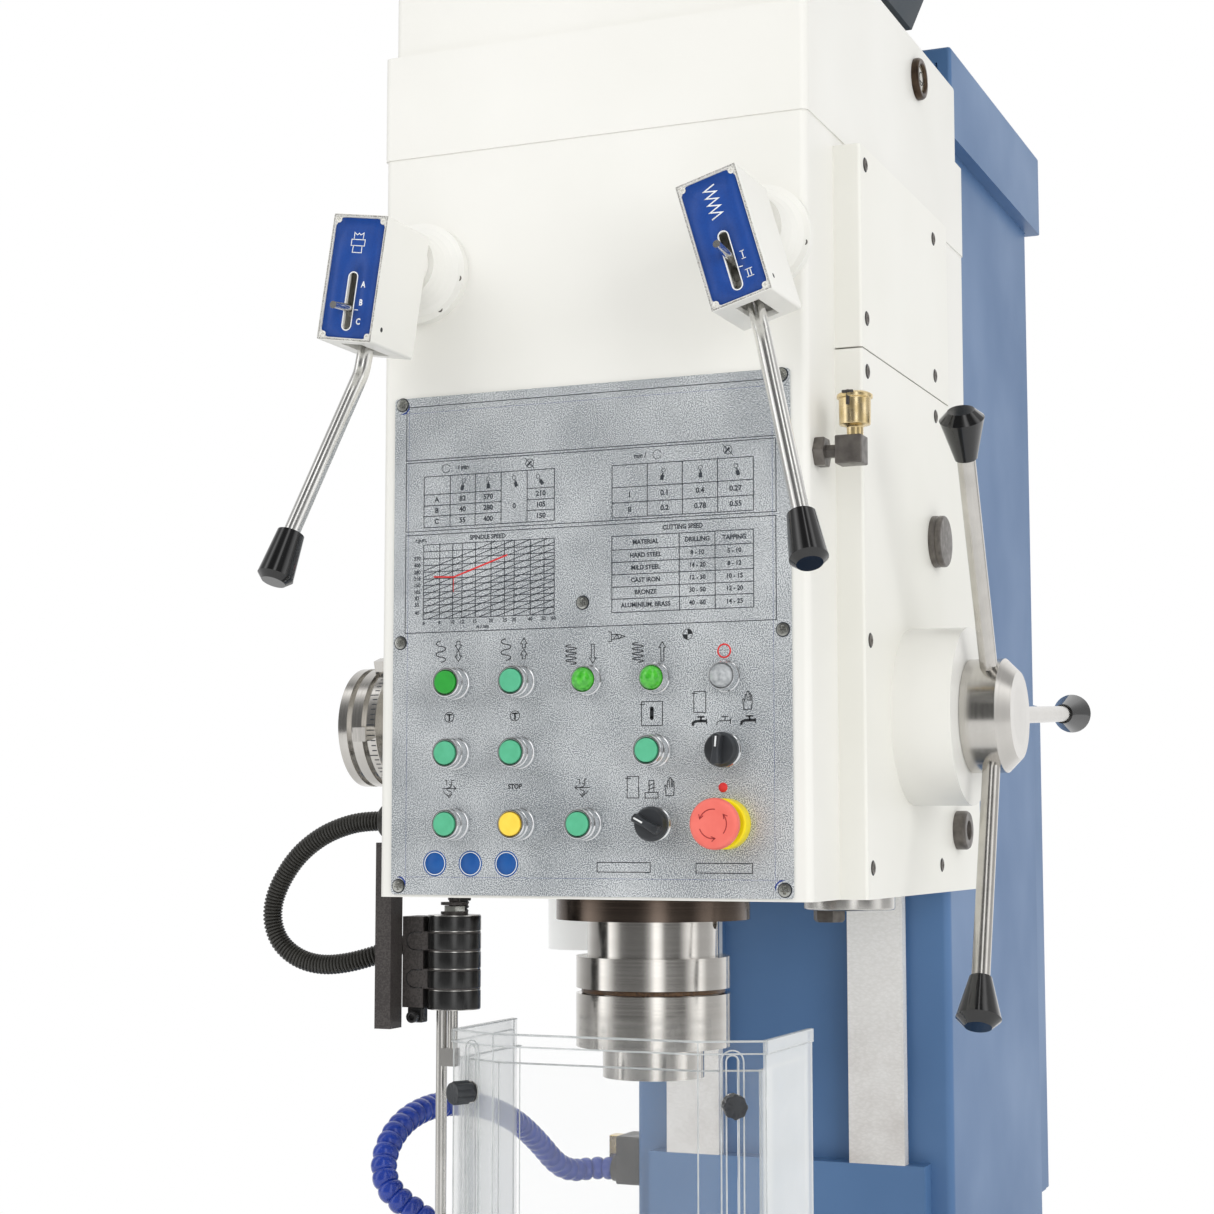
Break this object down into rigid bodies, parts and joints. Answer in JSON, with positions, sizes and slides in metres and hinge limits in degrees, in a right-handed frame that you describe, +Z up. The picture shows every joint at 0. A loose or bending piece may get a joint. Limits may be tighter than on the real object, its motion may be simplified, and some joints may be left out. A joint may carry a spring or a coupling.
{
  "type": "pillar drill",
  "caption": "Box-column drilling machine with a geared head that slides on ground ways, a feeding quill, a capstan, control panel, swinging clear guard, rising slotted table and ribbed base.",
  "frame": {"origin": "centre of the four anchor holes at the underside of the base", "axes": "+X to the operator's right, +Y to the back of the machine, +Z up"},
  "size_m": [0.72, 1.3749, 2.6429],
  "materials": {
    "blue_paint": "satin machine enamel",
    "white_paint": "semi-gloss machine enamel",
    "dark_paint": "satin grey enamel",
    "ground_iron": "ground and scraped",
    "bright_steel": "turned and ground",
    "polished_steel": "bright plated",
    "black_steel": "black oxide",
    "silver_plate": "hammered sheet",
    "brass": "turned",
    "black_plastic": "gloss phenolic",
    "green_plastic": "gloss lens and cap",
    "yellow_plastic": "gloss cap",
    "red_plastic": "gloss mushroom",
    "blue_hose": "segmented plastic",
    "clear_plastic": "clear acrylic",
    "conduit_plastic": "ribbed"
  },
  "bodies": {
    "stand": {"base": "blue_paint", "column": "blue_paint", "column_cap": "blue_paint", "column_ways": "ground_iron", "electric_cabinet": "blue_paint", "coolant_pump": "dark_paint", "coolant_valve": "brass", "coolant_hose": "blue_hose", "elevating_screw": "bright_steel"},
    "tap": {"coolant_tap": "polished_steel"},
    "table_slide": {"table_bracket": "blue_paint", "table": "ground_iron"},
    "crank": {"table_crank": "bright_steel"},
    "head": {"head_casting": "white_paint", "gear_case": "white_paint", "drive_case": "white_paint", "motor": "dark_paint", "side_covers": "white_paint", "control_plate": "silver_plate", "button_bezels": "polished_steel", "pilot_lamps": "green_plastic", "spindle_flange": "bright_steel", "oil_cup": "brass", "side_fittings": "bright_steel", "shaft_bosses": "white_paint", "guard_bracket": "black_steel", "conduit": "conduit_plastic", "conduit_glands": "black_plastic", "cover_screws": "bright_steel", "work_lamp": "white_paint"},
    "quill_body": {"quill": "bright_steel", "spindle_bearings": "bright_steel"},
    "spindle_body": {"spindle": "bright_steel"},
    "spindle_gear_body": {"spindle_gear": "bright_steel"},
    "motor_shaft": {"motor_gear": "bright_steel"},
    "capstan_body": {"pinion_shaft": "bright_steel", "capstan": "bright_steel", "capstan_knobs": "black_plastic", "depth_dial": "bright_steel"},
    "left_box": {"left_lever_box": "white_paint"},
    "left_lever_body": {"left_lever": "bright_steel", "left_knob": "black_plastic"},
    "right_box": {"right_lever_box": "white_paint"},
    "right_lever_body": {"right_lever": "bright_steel", "right_knob": "black_plastic"},
    "stop_head": {"emergency_stop": "red_plastic"},
    "guard": {"guard_hinge": "bright_steel", "guard_frame": "clear_plastic"},
    "guard_slider": {"guard_panel": "clear_plastic", "guard_knobs": "black_plastic"},
    "button_feed_down_body": {"button_feed_down": "green_plastic"},
    "button_feed_up_body": {"button_feed_up": "green_plastic"},
    "button_tap_left_body": {"button_tap_left": "green_plastic"},
    "button_tap_right_body": {"button_tap_right": "green_plastic"},
    "button_magnet_body": {"button_magnet": "green_plastic"},
    "button_spindle_left_body": {"button_spindle_left": "green_plastic"},
    "button_stop_body": {"button_stop": "yellow_plastic"},
    "button_spindle_right_body": {"button_spindle_right": "green_plastic"},
    "selector_coolant_body": {"selector_coolant": "black_plastic"},
    "selector_mode_body": {"selector_mode": "black_plastic"}
  },
  "joints": [
    {"name": "head_slide", "type": "slide", "parent": "stand", "child": "head", "axis": [0, 0, 1], "range_m": [-0.2, 0.02]},
    {"name": "quill_feed", "type": "slide", "parent": "head", "child": "quill_body", "axis": [0, 0, -1], "range_m": [0, 0.25]},
    {"name": "spindle_spin", "type": "hinge", "parent": "quill_body", "child": "spindle_body", "pos_m": [0, -0.275, 1.3], "axis": [0, 0, 1], "continuous": true},
    {"name": "spindle_gear_spin", "type": "hinge", "parent": "head", "child": "spindle_gear_body", "pos_m": [0, -0.275, 1.95], "axis": [0, 0, 1], "continuous": true},
    {"name": "motor_spin", "type": "hinge", "parent": "head", "child": "motor_shaft", "pos_m": [0, -0.03, 1.95], "axis": [0, 0, 1], "continuous": true},
    {"name": "capstan_turn", "type": "hinge", "parent": "head", "child": "capstan_body", "pos_m": [0, -0.194, 1.613], "axis": [1, 0, 0], "range_deg": [-5, 535]},
    {"name": "left_box_turn", "type": "hinge", "parent": "head", "child": "left_box", "pos_m": [-0.163, -0.47, 2.013], "axis": [0, 1, 0], "range_deg": [-30, 14]},
    {"name": "right_box_turn", "type": "hinge", "parent": "head", "child": "right_box", "pos_m": [0.163, -0.47, 2.013], "axis": [0, 1, 0], "range_deg": [-6, 38]},
    {"name": "left_lever_swing", "type": "hinge", "parent": "left_box", "child": "left_lever_body", "pos_m": [-0.17078, -0.511, 1.96158], "axis": [0.9888, 0, -0.1495], "range_deg": [-20, 16]},
    {"name": "right_lever_swing", "type": "hinge", "parent": "right_box", "child": "right_lever_body", "pos_m": [0.17768, -0.511, 1.96312], "axis": [0.9593, 0, 0.2823], "range_deg": [-16, 20]},
    {"name": "press_feed_down", "type": "slide", "parent": "head", "child": "button_feed_down_body", "axis": [0, 1, 0], "range_m": [0, 0.004], "stiffness_N_per_m": 400, "springref_m": -0.003},
    {"name": "press_feed_up", "type": "slide", "parent": "head", "child": "button_feed_up_body", "axis": [0, 1, 0], "range_m": [0, 0.004], "stiffness_N_per_m": 400, "springref_m": -0.003},
    {"name": "press_tap_left", "type": "slide", "parent": "head", "child": "button_tap_left_body", "axis": [0, 1, 0], "range_m": [0, 0.004], "stiffness_N_per_m": 400, "springref_m": -0.003},
    {"name": "press_tap_right", "type": "slide", "parent": "head", "child": "button_tap_right_body", "axis": [0, 1, 0], "range_m": [0, 0.004], "stiffness_N_per_m": 400, "springref_m": -0.003},
    {"name": "press_magnet", "type": "slide", "parent": "head", "child": "button_magnet_body", "axis": [0, 1, 0], "range_m": [0, 0.004], "stiffness_N_per_m": 400, "springref_m": -0.003},
    {"name": "press_spindle_left", "type": "slide", "parent": "head", "child": "button_spindle_left_body", "axis": [0, 1, 0], "range_m": [0, 0.004], "stiffness_N_per_m": 400, "springref_m": -0.003},
    {"name": "press_stop", "type": "slide", "parent": "head", "child": "button_stop_body", "axis": [0, 1, 0], "range_m": [0, 0.004], "stiffness_N_per_m": 400, "springref_m": -0.003},
    {"name": "press_spindle_right", "type": "slide", "parent": "head", "child": "button_spindle_right_body", "axis": [0, 1, 0], "range_m": [0, 0.004], "stiffness_N_per_m": 400, "springref_m": -0.003},
    {"name": "turn_coolant", "type": "hinge", "parent": "head", "child": "selector_coolant_body", "pos_m": [0.1289, -0.44, 1.5767], "axis": [0, 1, 0], "range_deg": [0, 90]},
    {"name": "turn_mode", "type": "hinge", "parent": "head", "child": "selector_mode_body", "pos_m": [0.0655, -0.44, 1.5146], "axis": [0, 1, 0], "range_deg": [0, 120]},
    {"name": "press_emergency", "type": "slide", "parent": "head", "child": "stop_head", "axis": [0, 1, 0], "range_m": [0, 0.005]},
    {"name": "guard_swing", "type": "hinge", "parent": "head", "child": "guard", "pos_m": [-0.157, -0.37, 1.39], "axis": [0, 0, -1], "range_deg": [0, 100]},
    {"name": "guard_slide", "type": "slide", "parent": "guard", "child": "guard_slider", "axis": [0, 0, 1], "range_m": [-0.11, 0.02]},
    {"name": "table_lift", "type": "slide", "parent": "stand", "child": "table_slide", "axis": [0, 0, 1], "range_m": [-0.2, 0.06]},
    {"name": "crank_turn", "type": "hinge", "parent": "table_slide", "child": "crank", "pos_m": [0.2, -0.045, 0.49], "axis": [1, 0, 0], "range_deg": [-3050, 950]},
    {"name": "coolant_tap_turn", "type": "hinge", "parent": "stand", "child": "tap", "pos_m": [-0.21, 0.16744, 1.1492], "axis": [1, 0, 0], "range_deg": [-90, 0]}
  ],
  "couplings": [
    {"joint": "spindle_gear_spin", "follows": "spindle_spin", "ratio": 1},
    {"joint": "motor_spin", "follows": "spindle_spin", "ratio": -1.2273},
    {"joint": "capstan_turn", "follows": "quill_feed", "rad_per_m": 37.037},
    {"joint": "crank_turn", "follows": "table_lift", "rad_per_m": 261.8}
  ]
}
